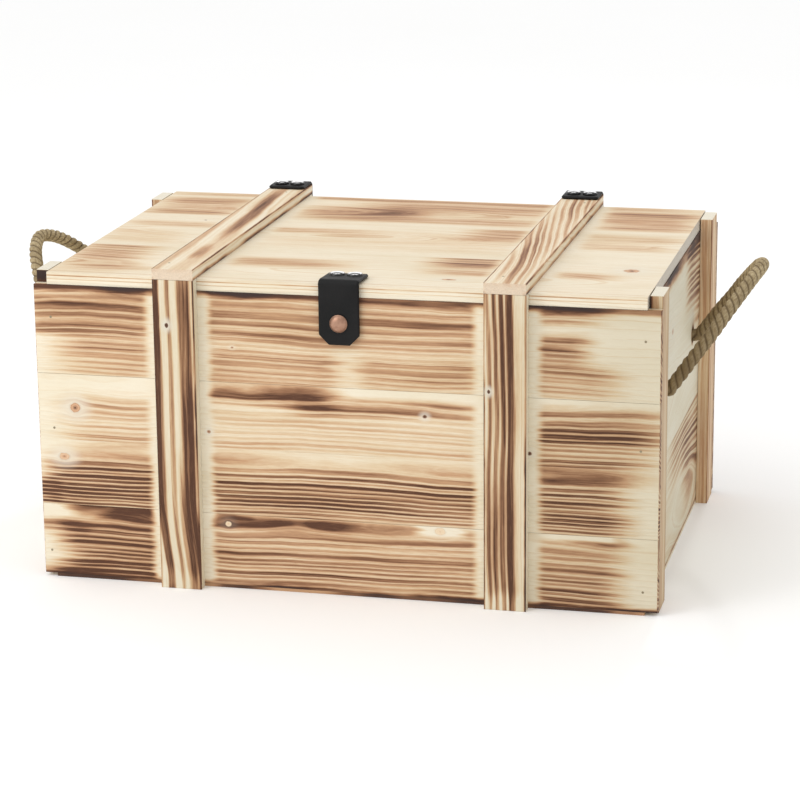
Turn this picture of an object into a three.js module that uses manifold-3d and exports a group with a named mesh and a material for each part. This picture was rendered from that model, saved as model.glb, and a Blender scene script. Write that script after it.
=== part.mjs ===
// A wooden storage crate: edge-glued spruce walls on a thin base, corner cleats, battens on the front,
// back and lid, a lid hung on two leather straps, a leather closure tab with a press stud, and a rope
// handle through each end.
// Millimetres. +X runs along the crate's length, +Y to its back and +Z up. The origin is the middle of
// the underside.

import * as THREE from 'three';
import { mergeVertices } from 'three/addons/utils/BufferGeometryUtils.js';
import Module from 'manifold-3d';

// ---------------------------------------------------------------- driving dimensions

const GAP = 0.3; // left between two pieces that touch

const LENGTH = 600; // along the front boards, which cover the corner cleats
const DEPTH = 410; // from the front boards' face to the back boards' face
const BASE = 3; // thickness of the bottom plate
const WALL_TOP = 291;
const LID_THICK = 12;
const LID_SETBACK = 1; // of the lid's front and back edges from the boards' faces
const LID_SIDE_PLAY = 1; // between the lid and each corner cleat
const LONG_BOARD = 10; // thickness of the front and back boards
const END_BOARD = 12; // thickness of the end boards
const LONG_SEAMS = [74, 204]; // heights of the glue lines of the front and back walls
const END_SEAM = 120; // height of the glue line of each end wall
const LID_SEAMS = [-72, 66]; // the lid's two glue lines, along Y

const CLEAT_THICK = 12; // along X, on the end boards' outside
const CLEAT_WIDE = 38; // along Y
const BATTEN_WIDE = 40;
const BATTEN_THICK = 12; // of the upright battens
const LID_BATTEN_THICK = 10.5;
const BATTEN_X = 158; // from the middle to each batten's middle

const LEATHER = 3;
const STRAP_WIDE = 39;
const STRAP_ON_TOP = 34; // a strap's length on the wood that it is screwed to
const STRAP_DOWN = 42; // a hinge strap's length below the hinge line
const STRAP_ROUND = 3.5; // outside radius of a strap's fold
const FOLD_FREE = 5.2; // how far a leaf stops short of the line that it folds about
const TAB_END = 246; // height of the closure tab's lower end
const TAB_CHAMFER = 9.5;
const TAB_STANDOFF = 2; // between the tab and the front boards' face
const STUD_HEIGHT = 267; // height of the press stud's axis
const STUD_RADIUS = 9.3;
const STUD_DOME = 5;

const SCREW_PITCH = 17;
const SCREW_INSET = 19; // from a strap's folded edge to its screws' row
const SHANK_RADIUS = 1.75;
const SHANK_LONG = 9; // below the leather's underside
const HOLE_RADIUS = SHANK_RADIUS + GAP;
const WASHER_RADIUS = 7.2;
const WASHER_HIGH = 2.2; // up to the raised rim
const DISH_HIGH = 1.3; // the washer's middle, which the screw's head sits in
const HEAD_RADIUS = 4;
const HEAD_DOME = 2.4;
const SOCKET_RADIUS = 5.5; // of the press stud's flat part behind the tab
const SOCKET_THICK = 1.2;
const RIVET_RADIUS = 4.5; // of the press stud's other half, in the front board
const RIVET_LONG = 8;
const ROUND_SIDES = 16;
const CAP_SIDES = 28;

const ROPE_RADIUS = 6.5;
const ROPE_SIDES = 10;
const ROPE_HOLE_RADIUS = 8.5;
const HANDLE_HEIGHT = 193; // of the two rope holes in each end
const HANDLE_HALF_SPAN = 110; // from the middle to each rope hole, along Y
const HANDLE_FLEX = 7; // how far out of the end board the rope bends
const KNOT_RADIUS = 13.5;
const BEND_PLAY = 2.6; // between the round end of a rope in its hole and the loop that turns about it
const LOOP_STEPS = 26;

// Half of a handle's route from where it bends to the middle of the loop, for the end at +X. The other
// half is its mirror image in the plane y = 0.
const HANDLE_ROUTE = [
  [295, -110, 193],
  [302, -108, 203],
  [310.5, -103.5, 215],
  [320, -96.5, 228],
  [330.5, -87, 242],
  [341.5, -73, 258],
  [352.5, -54, 273],
  [362.5, -29.5, 286],
  [368, 0, 292],
];

// ---------------------------------------------------------------- places worked out from them

const HALF_LENGTH = LENGTH / 2;
const FACE_Y = DEPTH / 2;
const END_FACE_X = HALF_LENGTH - CLEAT_THICK;
const END_INNER_X = END_FACE_X - END_BOARD;
const INNER_Y = FACE_Y - LONG_BOARD;
const LID_TOP = WALL_TOP + LID_THICK;
const BATTEN_Y = FACE_Y + BATTEN_THICK;
const LID_BATTEN_TOP = LID_TOP + LID_BATTEN_THICK;
const LID_HALF_X = END_FACE_X - LID_SIDE_PLAY;
const LID_HALF_Y = FACE_Y - LID_SETBACK;
const HANDLE_BEND_X = END_FACE_X + HANDLE_FLEX;
const TAB_INNER_Y = -FACE_Y - TAB_STANDOFF;
const SIDES = { left: -1, right: 1 };

// ---------------------------------------------------------------- materials

function finish(color, roughness, metalness = 0) {
  return new THREE.MeshStandardMaterial({ color, roughness, metalness });
}

const scorchedSpruce = () => finish(0xd2a878, 0.62);
const paleSpruce = () => finish(0xe6cfa6, 0.62);
const plywood = () => finish(0xd9bd92, 0.65);
const blackLeather = () => finish(0x2d2c2c, 0.5);
const blackSteel = () => finish(0x1b1b1c, 0.25, 0.9);
const copper = () => finish(0xb4876a, 0.35, 0.8);
const jute = () => finish(0xa8956c, 0.9);

// ---------------------------------------------------------------- solids

const wasm = await Module();
wasm.setup();

/** A closed geometry as a solid that can be cut and joined. */
function solidOf(geometry) {
  const bare = geometry.clone();
  bare.deleteAttribute('normal');
  bare.deleteAttribute('uv');
  const merged = mergeVertices(bare);
  return new wasm.Manifold(new wasm.Mesh({
    numProp: 3,
    vertProperties: merged.attributes.position.array,
    triVerts: new Uint32Array(merged.index.array),
  }));
}

function geometryOf(solid) {
  const mesh = solid.getMesh();
  const geometry = new THREE.BufferGeometry();
  geometry.setAttribute('position', new THREE.BufferAttribute(mesh.vertProperties, 3));
  geometry.setIndex(new THREE.BufferAttribute(mesh.triVerts, 1));
  geometry.computeVertexNormals();
  return geometry;
}

/** The geometry with each cutter taken out of it. */
function cut(geometry, cutters) {
  return geometryOf(cutters.reduce((left, cutter) => left.subtract(solidOf(cutter)), solidOf(geometry)));
}

function join(first, second) {
  return geometryOf(solidOf(first).add(solidOf(second)));
}

/** A cylinder along one axis ('x', 'y' or 'z') with its middle at a point. */
function rod(radius, length, axis, [x, y, z]) {
  const geometry = new THREE.CylinderGeometry(radius, radius, length, ROUND_SIDES);
  if (axis === 'x') geometry.rotateZ(Math.PI / 2);
  if (axis === 'z') geometry.rotateX(Math.PI / 2);
  return geometry.translate(x, y, z);
}

/**
 * A board between two corners. Each face stands half a gap inside the stated one, apart from an
 * underside that is the crate's own.
 */
function board([x0, y0, z0], [x1, y1, z1]) {
  const inset = GAP / 2;
  const low = new THREE.Vector3(x0 + inset, y0 + inset, z0 === 0 ? 0 : z0 + inset);
  const high = new THREE.Vector3(x1 - inset, y1 - inset, z1 - inset);
  const size = high.clone().sub(low);
  const middle = low.add(high).divideScalar(2);
  return new THREE.BoxGeometry(size.x, size.y, size.z).translate(middle.x, middle.y, middle.z);
}

/** Adds one piece of the object to a group. */
function add(group, name, geometry, material) {
  const mesh = new THREE.Mesh(geometry, material);
  mesh.name = name;
  group.add(mesh);
}

// ---------------------------------------------------------------- the crate's walls and battens

function ropeHoles(side) {
  const x = side * (END_FACE_X + END_INNER_X) / 2;
  return [-1, 1].map((end) =>
    rod(ROPE_HOLE_RADIUS, 2 * END_BOARD, 'x', [x, end * HANDLE_HALF_SPAN, HANDLE_HEIGHT]));
}

/** The front wall (side -1) or the back wall (side 1), from its lowest board up. */
function addLongWall(crate, name, side) {
  const heights = [BASE, ...LONG_SEAMS, WALL_TOP];
  const [near, far] = side < 0 ? [-FACE_Y, -INNER_Y] : [INNER_Y, FACE_Y];
  ['lower', 'middle', 'upper'].forEach((level, i) => {
    let geometry = board([-HALF_LENGTH, near, heights[i]], [HALF_LENGTH, far, heights[i + 1]]);
    if (name === 'front' && level === 'upper') {
      geometry = cut(geometry, [rod(HOLE_RADIUS, 2 * LONG_BOARD, 'y', [0, -FACE_Y, STUD_HEIGHT])]);
    }
    add(crate, `${name}_board_${level}`, geometry, scorchedSpruce());
  });
}

function addEndWall(crate, name, side) {
  const [inner, outer] = side < 0 ? [-END_FACE_X, -END_INNER_X] : [END_INNER_X, END_FACE_X];
  const lower = board([inner, -INNER_Y, BASE], [outer, INNER_Y, END_SEAM]);
  const upper = board([inner, -INNER_Y, END_SEAM], [outer, INNER_Y, WALL_TOP]);
  add(crate, `${name}_end_board_lower`, lower, paleSpruce());
  add(crate, `${name}_end_board_upper`, cut(upper, ropeHoles(side)), paleSpruce());
}

/** The cleats stand on the end walls' outside, behind the ends of the front and back boards. */
function addCleats(crate) {
  for (const [name, side] of Object.entries(SIDES)) {
    const [x0, x1] = side < 0 ? [-HALF_LENGTH, -END_FACE_X] : [END_FACE_X, HALF_LENGTH];
    const front = board([x0, -INNER_Y, 0], [x1, -INNER_Y + CLEAT_WIDE, LID_TOP]);
    const back = board([x0, INNER_Y - CLEAT_WIDE, 0], [x1, INNER_Y, LID_TOP]);
    add(crate, `corner_cleat_front_${name}`, front, scorchedSpruce());
    add(crate, `corner_cleat_back_${name}`, back, scorchedSpruce());
  }
}

/** The upright battens reach from the underside to the lid's top. */
function addUprightBattens(crate) {
  for (const [name, side] of Object.entries(SIDES)) {
    const x0 = side * BATTEN_X - BATTEN_WIDE / 2;
    const x1 = x0 + BATTEN_WIDE;
    const front = board([x0, -BATTEN_Y, 0], [x1, -FACE_Y, LID_TOP]);
    const back = board([x0, FACE_Y, 0], [x1, BATTEN_Y, LID_TOP]);
    const holes = screwPlaces(side * BATTEN_X).map((x) =>
      rod(HOLE_RADIUS, 2 * (SHANK_LONG + 1), 'y', [x, BATTEN_Y, LID_TOP - FOLD_FREE - SCREW_INSET]));
    add(crate, `front_batten_${name}`, front, scorchedSpruce());
    add(crate, `back_batten_${name}`, cut(back, holes), scorchedSpruce());
  }
}

function addBox(crate) {
  const base = board([-END_FACE_X, -FACE_Y, 0], [END_FACE_X, FACE_Y, BASE]);
  add(crate, 'bottom_plate', base, plywood());
  addLongWall(crate, 'front', -1);
  addLongWall(crate, 'back', 1);
  addEndWall(crate, 'left', SIDES.left);
  addEndWall(crate, 'right', SIDES.right);
  addCleats(crate);
  addUprightBattens(crate);
}

// ---------------------------------------------------------------- the lid

function addLid(lid) {
  const edges = [-LID_HALF_Y, ...LID_SEAMS, LID_HALF_Y];
  ['front', 'middle', 'back'].forEach((place, i) => {
    let geometry = board([-LID_HALF_X, edges[i], WALL_TOP], [LID_HALF_X, edges[i + 1], LID_TOP]);
    if (place === 'front') {
      const y = -LID_HALF_Y + SCREW_INSET + FOLD_FREE;
      const holes = screwPlaces(0).map((x) => rod(HOLE_RADIUS, 2 * (SHANK_LONG + 1), 'z', [x, y, LID_TOP]));
      geometry = cut(geometry, holes);
    }
    add(lid, `lid_board_${place}`, geometry, paleSpruce());
  });
  for (const [name, side] of Object.entries(SIDES)) {
    const x0 = side * BATTEN_X - BATTEN_WIDE / 2;
    const batten = board([x0, -BATTEN_Y, LID_TOP], [x0 + BATTEN_WIDE, BATTEN_Y, LID_BATTEN_TOP]);
    const y = BATTEN_Y - SCREW_INSET;
    const holes = screwPlaces(side * BATTEN_X).map((x) =>
      rod(HOLE_RADIUS, 2 * (SHANK_LONG + 1), 'z', [x, y, LID_BATTEN_TOP]));
    add(lid, `lid_batten_${name}`, cut(batten, holes), scorchedSpruce());
  }
}

// ---------------------------------------------------------------- screws with cup washers

function screwPlaces(middle) {
  return [middle - SCREW_PITCH / 2, middle + SCREW_PITCH / 2];
}

/** A cup washer round +Y, resting on y = 0. Its raised rim holds the screw's head in a dish. */
function washerGeometry() {
  const bore = SHANK_RADIUS + GAP;
  const rim = WASHER_RADIUS - 1.8;
  const section = [
    [bore, GAP], [WASHER_RADIUS, GAP], [WASHER_RADIUS - 0.2, WASHER_HIGH - 1],
    [WASHER_RADIUS - 0.9, WASHER_HIGH - 0.1], [rim, WASHER_HIGH],
    [rim - 0.8, DISH_HIGH + 0.2], [bore, DISH_HIGH], [bore, GAP],
  ];
  return new THREE.LatheGeometry(section.map(([r, h]) => new THREE.Vector2(r, h)), ROUND_SIDES);
}

/** A dome's side view, from its foot at a radius up to its top on the axis. */
function domeProfile(radius, foot, high, steps) {
  const points = [];
  for (let i = 0; i < steps; i += 1) {
    const angle = (i / steps) * Math.PI / 2;
    points.push(new THREE.Vector2(radius * Math.cos(angle), foot + high * Math.sin(angle)));
  }
  points.push(new THREE.Vector2(0, foot + high));
  return points;
}

/** A domed screw round +Y for a washer on y = 0, through leather and into the wood below. */
function screwGeometry() {
  const headFoot = DISH_HIGH + GAP;
  const tip = -LEATHER - SHANK_LONG;
  const profile = [
    new THREE.Vector2(0, tip),
    new THREE.Vector2(SHANK_RADIUS, tip + 3),
    new THREE.Vector2(SHANK_RADIUS, headFoot),
    ...domeProfile(HEAD_RADIUS, headFoot, HEAD_DOME, 4),
  ];
  return new THREE.LatheGeometry(profile, ROUND_SIDES);
}

/** Two screws and their washers in a row along X. Facing is the way their heads point: 'up' or 'back'. */
function addScrewPair(group, name, facing, [middle, y, z]) {
  screwPlaces(middle).forEach((x, i) => {
    const washer = washerGeometry();
    const screw = screwGeometry();
    for (const geometry of [washer, screw]) {
      if (facing === 'up') geometry.rotateX(Math.PI / 2);
      geometry.translate(x, y, z);
    }
    add(group, `${name}_washer_${i + 1}`, washer, blackSteel());
    add(group, `${name}_screw_${i + 1}`, screw, blackSteel());
  });
}

// ---------------------------------------------------------------- leather straps

/** A strap's side view, drawn in (y, z), made as wide as the strap and centred on an X. */
function strap(outline, middle) {
  const settings = { depth: STRAP_WIDE, bevelEnabled: false, curveSegments: 6 };
  const geometry = new THREE.ExtrudeGeometry(outline, settings);
  // the drawing's first axis becomes +Y, its second +Z, and the extrusion runs along +X
  const turn = new THREE.Matrix4().makeBasis(
    new THREE.Vector3(0, 1, 0), new THREE.Vector3(0, 0, 1), new THREE.Vector3(1, 0, 0));
  return geometry.applyMatrix4(turn).translate(middle - STRAP_WIDE / 2, 0, 0);
}

/** The part of a hinge strap on the lid: along the batten's top, over its end and down to the fold. */
function upperHingeOutline() {
  const low = LID_BATTEN_TOP + GAP;
  const top = low + LEATHER;
  const inside = BATTEN_Y + GAP;
  const outside = inside + LEATHER;
  const outline = new THREE.Shape();
  outline.moveTo(BATTEN_Y - STRAP_ON_TOP, low);
  outline.lineTo(inside, low);
  outline.lineTo(inside, LID_TOP + FOLD_FREE);
  outline.lineTo(outside, LID_TOP + FOLD_FREE);
  outline.lineTo(outside, top - STRAP_ROUND);
  outline.absarc(outside - STRAP_ROUND, top - STRAP_ROUND, STRAP_ROUND, 0, Math.PI / 2, false);
  outline.lineTo(BATTEN_Y - STRAP_ON_TOP, top);
  outline.closePath();
  return outline;
}

function rectangle(y0, z0, y1, z1) {
  const corners = [[y0, z0], [y1, z0], [y1, z1], [y0, z1]];
  return new THREE.Shape(corners.map(([y, z]) => new THREE.Vector2(y, z)));
}

/** Holes for a pair of screws through leather: along 'z' in a level leaf, along 'y' in an upright one. */
function leatherHoles(middle, axis, y, z) {
  return screwPlaces(middle).map((x) => rod(HOLE_RADIUS, 4 * LEATHER, axis, [x, y, z]));
}

function addHinges(crate, lid) {
  for (const [name, side] of Object.entries(SIDES)) {
    const x = side * BATTEN_X;
    const top = LID_BATTEN_TOP + GAP + LEATHER;
    const rowY = BATTEN_Y - SCREW_INSET;
    const upper = cut(strap(upperHingeOutline(), x), leatherHoles(x, 'z', rowY, top));
    add(lid, `hinge_strap_upper_${name}`, upper, blackLeather());
    addScrewPair(lid, `hinge_upper_${name}`, 'up', [x, rowY, top]);

    const inside = BATTEN_Y + GAP;
    const rowZ = LID_TOP - FOLD_FREE - SCREW_INSET;
    const outline = rectangle(inside, LID_TOP - STRAP_DOWN, inside + LEATHER, LID_TOP - FOLD_FREE);
    const lower = cut(strap(outline, x), leatherHoles(x, 'y', inside, rowZ));
    add(crate, `hinge_strap_lower_${name}`, lower, blackLeather());
    addScrewPair(crate, `hinge_lower_${name}`, 'back', [x, inside + LEATHER, rowZ]);
  }
}

// ---------------------------------------------------------------- closure tab and press stud

function tabGeometry() {
  const half = STRAP_WIDE / 2;
  const outline = new THREE.Shape();
  outline.moveTo(-half, LID_TOP - FOLD_FREE);
  outline.lineTo(-half, TAB_END + TAB_CHAMFER);
  outline.lineTo(-half + TAB_CHAMFER, TAB_END);
  outline.lineTo(half - TAB_CHAMFER, TAB_END);
  outline.lineTo(half, TAB_END + TAB_CHAMFER);
  outline.lineTo(half, LID_TOP - FOLD_FREE);
  outline.closePath();
  const leaf = new THREE.ExtrudeGeometry(outline, { depth: LEATHER, bevelEnabled: false });
  leaf.rotateX(Math.PI / 2).translate(0, TAB_INNER_Y, 0);
  return cut(leaf, [rod(HOLE_RADIUS, 4 * LEATHER, 'y', [0, TAB_INNER_Y, STUD_HEIGHT])]);
}

/** The stud's cap: a dome in front of the tab, a post through it and a flat socket behind it. */
function studCapGeometry() {
  const front = LEATHER + GAP;
  const edge = 0.8; // of the cap's rim, below the dome
  const profile = [
    new THREE.Vector2(0, -GAP - SOCKET_THICK),
    new THREE.Vector2(SOCKET_RADIUS, -GAP - SOCKET_THICK),
    new THREE.Vector2(SOCKET_RADIUS, -GAP),
    new THREE.Vector2(SHANK_RADIUS, -GAP),
    new THREE.Vector2(SHANK_RADIUS, front),
    new THREE.Vector2(STUD_RADIUS, front),
    ...domeProfile(STUD_RADIUS, front + edge, STUD_DOME - edge, 6),
  ];
  return new THREE.LatheGeometry(profile, CAP_SIDES).rotateX(Math.PI).translate(0, TAB_INNER_Y, STUD_HEIGHT);
}

/** The stud's other half: a low rivet in the front board that the socket sits against. */
function studBaseGeometry() {
  const headThick = 0.2;
  const section = [
    [0, -RIVET_LONG], [SHANK_RADIUS, -RIVET_LONG], [SHANK_RADIUS, 0],
    [RIVET_RADIUS, 0], [RIVET_RADIUS, headThick], [0, headThick],
  ];
  const profile = section.map(([r, h]) => new THREE.Vector2(r, h));
  return new THREE.LatheGeometry(profile, ROUND_SIDES).rotateX(Math.PI).translate(0, -FACE_Y, STUD_HEIGHT);
}

function addClosure(crate, lid, tab) {
  const low = LID_TOP + GAP;
  const rowY = -LID_HALF_Y + SCREW_INSET + FOLD_FREE;
  const leaf = strap(rectangle(-LID_HALF_Y, low, -LID_HALF_Y + STRAP_ON_TOP, low + LEATHER), 0);
  add(lid, 'closure_strap', cut(leaf, leatherHoles(0, 'z', rowY, low)), blackLeather());
  addScrewPair(lid, 'closure', 'up', [0, rowY, low + LEATHER]);
  add(tab, 'closure_tab', tabGeometry(), blackLeather());
  add(tab, 'closure_stud_cap', studCapGeometry(), copper());
  add(crate, 'closure_stud_base', studBaseGeometry(), copper());
}

// ---------------------------------------------------------------- rope handles

/** The whole loop's route, from bend to bend. */
function handleRoute(side) {
  const half = HANDLE_ROUTE.map(([x, y, z]) => new THREE.Vector3(side * x, y, z));
  const other = half.slice(0, -1).reverse().map((p) => new THREE.Vector3(p.x, -p.y, p.z));
  return new THREE.CatmullRomCurve3([...half, ...other], false, 'centripetal');
}

function ropeSection() {
  const section = new THREE.Shape();
  for (let i = 0; i < ROPE_SIDES; i += 1) {
    const angle = (i / ROPE_SIDES) * 2 * Math.PI;
    const [u, v] = [ROPE_RADIUS * Math.cos(angle), ROPE_RADIUS * Math.sin(angle)];
    if (i === 0) section.moveTo(u, v);
    else section.lineTo(u, v);
  }
  section.closePath();
  return section;
}

/** The loop stays clear of the round rope end that it turns about at each bend. */
function loopGeometry(side) {
  const route = handleRoute(side);
  const bends = [-1, 1].map((end) =>
    new THREE.SphereGeometry(ROPE_RADIUS + BEND_PLAY, 24, 16)
      .translate(side * HANDLE_BEND_X, end * HANDLE_HALF_SPAN, HANDLE_HEIGHT));
  const tube = new THREE.ExtrudeGeometry(ropeSection(), { steps: LOOP_STEPS, extrudePath: route });
  return cut(tube, bends);
}

/** The rope in a hole: a stopper knot inside the crate, and a round end where the loop bends. */
function ropeEndGeometry(side, end) {
  const knotX = END_INNER_X - KNOT_RADIUS - GAP;
  const y = end * HANDLE_HALF_SPAN;
  const middleX = side * (HANDLE_BEND_X + knotX) / 2;
  const run = rod(ROPE_RADIUS, HANDLE_BEND_X - knotX, 'x', [middleX, y, HANDLE_HEIGHT]);
  const knot = new THREE.SphereGeometry(KNOT_RADIUS, 14, 8).translate(side * knotX, y, HANDLE_HEIGHT);
  const bend = new THREE.SphereGeometry(ROPE_RADIUS, 14, 8).translate(side * HANDLE_BEND_X, y, HANDLE_HEIGHT);
  return join(join(run, knot), bend);
}

function addHandles(crate, handles) {
  for (const [name, side] of Object.entries(SIDES)) {
    add(handles, `rope_handle_${name}`, loopGeometry(side), jute());
    add(crate, `rope_end_front_${name}`, ropeEndGeometry(side, -1), jute());
    add(crate, `rope_end_back_${name}`, ropeEndGeometry(side, 1), jute());
  }
}

// ---------------------------------------------------------------- the whole object

const crateGroup = new THREE.Group();
const lidGroup = new THREE.Group();
const tabGroup = new THREE.Group();
const handleGroup = new THREE.Group();

addBox(crateGroup);
addLid(lidGroup);
addHinges(crateGroup, lidGroup);
addClosure(crateGroup, lidGroup, tabGroup);
addHandles(crateGroup, handleGroup);

const storageCrate = new THREE.Group();
storageCrate.add(crateGroup, lidGroup, tabGroup, handleGroup);

export default storageCrate;
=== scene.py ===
"""A scorched spruce storage crate with leather hinges, a press-stud tab and rope handles."""

from dataclasses import dataclass
import math
import random

import bmesh
import bpy
from mathutils import Matrix, Vector, noise


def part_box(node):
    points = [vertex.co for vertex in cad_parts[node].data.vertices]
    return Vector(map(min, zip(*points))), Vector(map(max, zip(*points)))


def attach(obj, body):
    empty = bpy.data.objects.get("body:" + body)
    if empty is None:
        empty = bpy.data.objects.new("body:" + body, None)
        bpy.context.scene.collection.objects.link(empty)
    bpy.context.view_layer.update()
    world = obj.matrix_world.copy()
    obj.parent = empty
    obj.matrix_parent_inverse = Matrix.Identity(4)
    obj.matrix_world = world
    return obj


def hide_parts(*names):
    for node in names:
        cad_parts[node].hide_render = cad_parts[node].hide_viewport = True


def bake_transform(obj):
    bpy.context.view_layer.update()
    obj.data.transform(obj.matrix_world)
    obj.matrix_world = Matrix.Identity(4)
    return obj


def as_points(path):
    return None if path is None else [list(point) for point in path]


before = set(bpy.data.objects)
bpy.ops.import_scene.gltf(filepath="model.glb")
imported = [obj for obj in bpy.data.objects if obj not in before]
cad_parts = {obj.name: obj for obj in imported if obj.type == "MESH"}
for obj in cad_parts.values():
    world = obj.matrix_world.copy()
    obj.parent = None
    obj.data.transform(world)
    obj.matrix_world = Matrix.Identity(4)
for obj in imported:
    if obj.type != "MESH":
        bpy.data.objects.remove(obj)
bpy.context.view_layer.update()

MM = 0.001
SEED = 7
WALLS = (("front", -1), ("back", 1))
HANDS = (("left", -1), ("right", 1))

# ---------------------------------------------------------------- the frame's measures, in metres

BOX_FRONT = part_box("front_board_lower")[0].y
BOX_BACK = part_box("back_board_lower")[1].y
LID_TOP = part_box("lid_board_front")[1].z
LID_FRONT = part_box("lid_board_front")[0].y
LID_BATTEN_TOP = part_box("lid_batten_left")[1].z
BATTEN_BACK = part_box("back_batten_left")[1].y
END_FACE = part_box("right_end_board_lower")[1].x
HINGE_X = sum(c.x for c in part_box("hinge_strap_upper_right")) / 2
BATTEN_HALF = (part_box("front_batten_right")[1].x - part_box("front_batten_right")[0].x) / 2
STRAP_HALF = (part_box("closure_tab")[1].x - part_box("closure_tab")[0].x) / 2
HANDLE_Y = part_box("rope_end_back_right")[1].y - 13.5 * MM
HANDLE_Z = 193 * MM
GAP = 0.3 * MM  # between pieces that touch
LEATHER = 3 * MM
FOLD_FREE = 5.2 * MM  # leather that is free to bend on each side of a hinge line
WASHER_ROW = 19 * MM  # from a strap's fold to its washers, on its screwed leaf
CLOSURE_ROW = FOLD_FREE + WASHER_ROW
TAB_STANDOFF = 2 * MM
STUD_HEIGHT = 267 * MM
ROPE_DIAMETER = 13 * MM


def nominal(metres):
    """The size in whole millimetres, without the gap that is left round each piece."""
    return round(metres / MM)


# The boards' wood is set up in millimetres.
LENGTH_HALF = nominal(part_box("front_board_lower")[1].x)
WALL_FACE = nominal(BOX_BACK)
WALL_TOP = nominal(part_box("front_board_upper")[1].z)
WALL_FOOT = nominal(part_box("front_board_lower")[0].z)
UPRIGHT_FACE = nominal(BATTEN_BACK)
BATTEN_X = nominal(HINGE_X)
BATTEN_EDGE = nominal(BATTEN_HALF)
END_X = nominal(END_FACE)
CLEAT_FACE = nominal(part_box("corner_cleat_back_right")[1].y)
CLEAT_WIDE = 38
LID_FACE = nominal(LID_TOP)
LID_BATTEN_FACE = LID_FACE + 10.5

# ---------------------------------------------------------------- camera


def add_camera():
    place = Vector((0.6442, -2.6768, 0.8827))
    azimuth = math.radians(13.374)
    elevation = math.radians(15.135)
    roll = math.radians(-0.561)
    data = bpy.data.cameras.new("camera")
    data.sensor_width = 36
    data.lens = 127.44
    camera = bpy.data.objects.new("camera", data)
    turn = Matrix.Rotation(azimuth, 4, "Z") @ Matrix.Rotation(math.pi / 2 - elevation, 4, "X")
    camera.matrix_world = Matrix.Translation(place) @ turn @ Matrix.Rotation(roll, 4, "Z")
    bpy.context.scene.collection.objects.link(camera)
    bpy.context.scene.camera = camera


# ---------------------------------------------------------------- node trees


def colour(red, green, blue):
    """An sRGB colour, 0 to 255, as Blender's linear RGBA."""
    linear = [((c / 255 + 0.055) / 1.055) ** 2.4 if c > 10 else c / 255 / 12.92 for c in (red, green, blue)]
    return (*linear, 1.0)


class Value:
    """A node's output. Calculating with it adds math nodes."""

    def __init__(self, nodes, socket):
        self.nodes = nodes
        self.socket = socket

    def __add__(self, other):
        return self.nodes.math("ADD", self, other)

    def __sub__(self, other):
        return self.nodes.math("SUBTRACT", self, other)

    def __rsub__(self, other):
        return self.nodes.math("SUBTRACT", other, self)

    def __mul__(self, other):
        return self.nodes.math("MULTIPLY", self, other)

    def __truediv__(self, other):
        return self.nodes.math("DIVIDE", self, other)

    def __abs__(self):
        return self.nodes.math("ABSOLUTE", self)

    __radd__ = __add__
    __rmul__ = __mul__


class Nodes:
    """Short calls for building a node tree. An input may be a number, a colour or a Value."""

    def __init__(self, tree):
        self.tree = tree

    def add(self, kind, inputs=None, **settings):
        node = self.tree.nodes.new("ShaderNode" + kind)
        for name, value in settings.items():
            setattr(node, name, value)
        for key, value in (inputs or {}).items():
            self.feed(node.inputs[key], value)
        return node

    def take(self, output, kind, inputs=None, **settings):
        """Adds a node, and returns one of its outputs."""
        return Value(self, self.add(kind, inputs, **settings).outputs[output])

    def feed(self, socket, value):
        if isinstance(value, Value):
            self.tree.links.new(value.socket, socket)
        else:
            socket.default_value = value

    def math(self, operation, a, b=0.0):
        return self.take(0, "Math", {0: a, 1: b}, operation=operation)

    def most(self, a, b):
        return self.math("MAXIMUM", a, b)

    def least(self, a, b):
        return self.math("MINIMUM", a, b)

    def length(self, u, v):
        return self.math("SQRT", u * u + v * v)

    def step(self, value, low, high, at_low=0.0, at_high=1.0):
        """A smooth step from at_low to at_high as value goes from low to high."""
        inputs = {"Value": value, "From Min": low, "From Max": high, "To Min": at_low, "To Max": at_high}
        return self.take(0, "MapRange", inputs, interpolation_type="SMOOTHSTEP")

    def mix(self, factor, a, b, blend="MIX"):
        """a and b are Values or sRGB colours."""
        a, b = (colour(*c) if isinstance(c, tuple) else c for c in (a, b))
        return self.take(2, "Mix", {0: factor, 6: a, 7: b}, data_type="RGBA", blend_type=blend)

    def place(self, kind="Object"):
        return self.take(kind, "TexCoord")

    def split(self, vector):
        return [Value(self, socket) for socket in self.add("SeparateXYZ", {0: vector}).outputs]

    def join(self, x, y, z=0.0):
        return self.take(0, "CombineXYZ", {0: x, 1: y, 2: z})

    def scaled(self, vector, factors):
        return self.take(0, "VectorMath", {0: vector, 1: factors}, operation="MULTIPLY")

    def noise(self, vector, scale=1.0, detail=2.0, roughness=0.5):
        inputs = {"Vector": vector, "Scale": scale, "Detail": detail, "Roughness": roughness}
        return self.take("Fac", "TexNoise", inputs)

    def swing(self, vector, scale=1.0, detail=2.0):
        """Noise about zero."""
        return self.noise(vector, scale, detail) - 0.5

    def random(self, vector):
        return self.take("Value", "TexWhiteNoise", {"Vector": vector}, noise_dimensions="3D")

    def ramp(self, value, stops):
        node = self.add("ValToRGB", {0: value})
        elements = node.color_ramp.elements
        while len(elements) < len(stops):
            elements.new(0.5)
        for element, (position, tint) in zip(elements, stops):
            element.position = position
            element.color = colour(*tint)
        return Value(self, node.outputs[0])

    def bump(self, height, depth, strength=1.0):
        """Height times depth, in metres, as a normal."""
        return self.take(0, "Bump", {"Height": height, "Distance": depth, "Strength": strength})


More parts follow.
